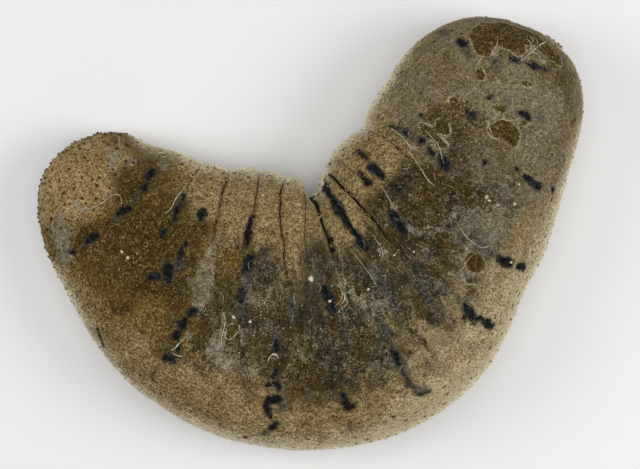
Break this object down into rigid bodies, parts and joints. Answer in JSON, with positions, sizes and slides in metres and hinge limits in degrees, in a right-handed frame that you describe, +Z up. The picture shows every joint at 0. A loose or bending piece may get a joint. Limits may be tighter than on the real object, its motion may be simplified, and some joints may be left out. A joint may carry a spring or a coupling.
{
  "type": "sea cucumber model",
  "caption": "Life-size still model of a large sea cucumber lying on its sole, its thick loaf-shaped body bent sideways into a U with folds along the inner flank.",
  "frame": {"origin": "centre of the bounding box's footprint, on the floor that the sole's tube feet rest on", "axes": "+X along the longest extent, from the mouth end towards the vent end; +Y towards the side that the body bends round, which is the picture's upper edge; +Z up, out of the back"},
  "size_m": [0.1621, 0.128, 0.0495],
  "materials": {
    "skin": "damp granular skin, mottled brown, tan and grey with blue-black marks",
    "lips": "damp, finely wrinkled",
    "tentacle_skin": "damp"
  },
  "bodies": {
    "root": {"oral_end": "skin", "trunk_front": "skin", "trunk_middle": "skin", "trunk_rear": "skin", "anal_end": "skin", "mouth_lips": "lips", "tentacles": "tentacle_skin", "vent_lips": "lips"}
  },
  "joints": []
}
